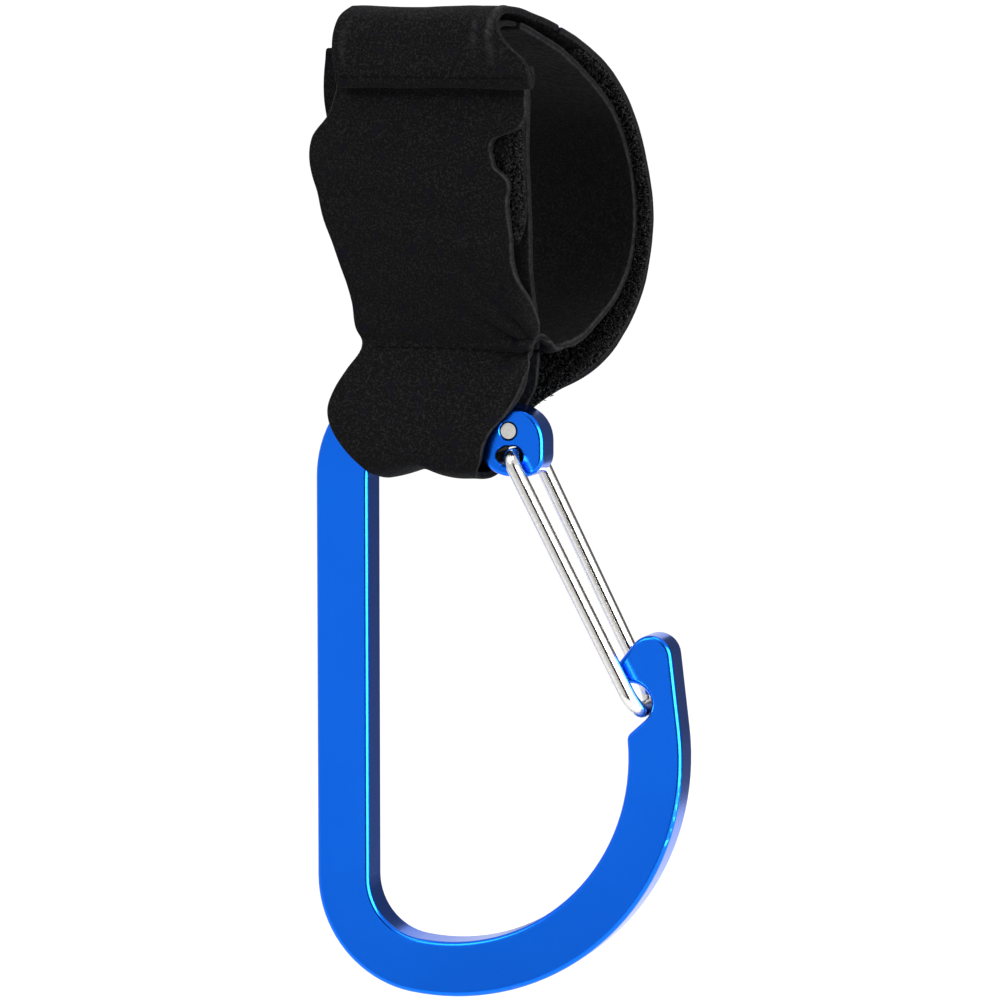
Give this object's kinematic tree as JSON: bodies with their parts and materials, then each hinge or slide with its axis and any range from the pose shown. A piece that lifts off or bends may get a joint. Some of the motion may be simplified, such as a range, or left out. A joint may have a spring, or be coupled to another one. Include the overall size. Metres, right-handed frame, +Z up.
{
  "type": "wire-gate carabiner stroller hook",
  "caption": "Blue aluminium D carabiner with a sprung wire gate, hanging in a black hook-and-loop strap that closes round a handlebar.",
  "frame": {"origin": "on the axis of the handlebar that the strap loop closes on, at the middle of the strap's width", "axes": "+Z up, +X along the handlebar, +Y away from the closing flap towards the loop's round back"},
  "size_m": [0.0801, 0.0579, 0.2073],
  "materials": {
    "anodised_blue": "satin anodised, polished edges",
    "stainless_wire": "polished",
    "black_fabric": "brushed, matte",
    "hook_tape": "hook tape with short bristles",
    "pile_tape": "soft looped pile",
    "thread": "twisted thread"
  },
  "bodies": {
    "strap": {"sleeve": "black_fabric", "neck_tack": "black_fabric", "front_wall": "black_fabric", "hook_tape": "hook_tape", "front_panel": "black_fabric", "back_ply": "hook_tape", "lining": "black_fabric", "neck_seam": "thread", "tape_seam": "thread"},
    "flap": {"closing_flap": "black_fabric", "flap_pile_tape": "pile_tape", "flap_hem": "black_fabric", "flap_seam": "thread"},
    "carabiner": {"carabiner_body": "anodised_blue"},
    "gate": {"gate_wire": "stainless_wire"}
  },
  "joints": [
    {"name": "flap_peel", "type": "hinge", "parent": "strap", "child": "flap", "pos_m": [0, -0.009, 0.026], "axis": [-1, 0, 0], "range_deg": [0, 90]},
    {"name": "carabiner_swing", "type": "hinge", "parent": "strap", "child": "carabiner", "pos_m": [0, -0.009, -0.049], "axis": [0.9781, 0.2079, 0], "range_deg": [-15, 15]},
    {"name": "gate_hinge", "type": "hinge", "parent": "carabiner", "child": "gate", "pos_m": [0.01138, -0.00658, -0.05614], "axis": [-0.2079, 0.9781, 0], "range_deg": [0, 20], "stiffness_Nm_per_rad": 0.93, "springref_deg": -11.46}
  ]
}
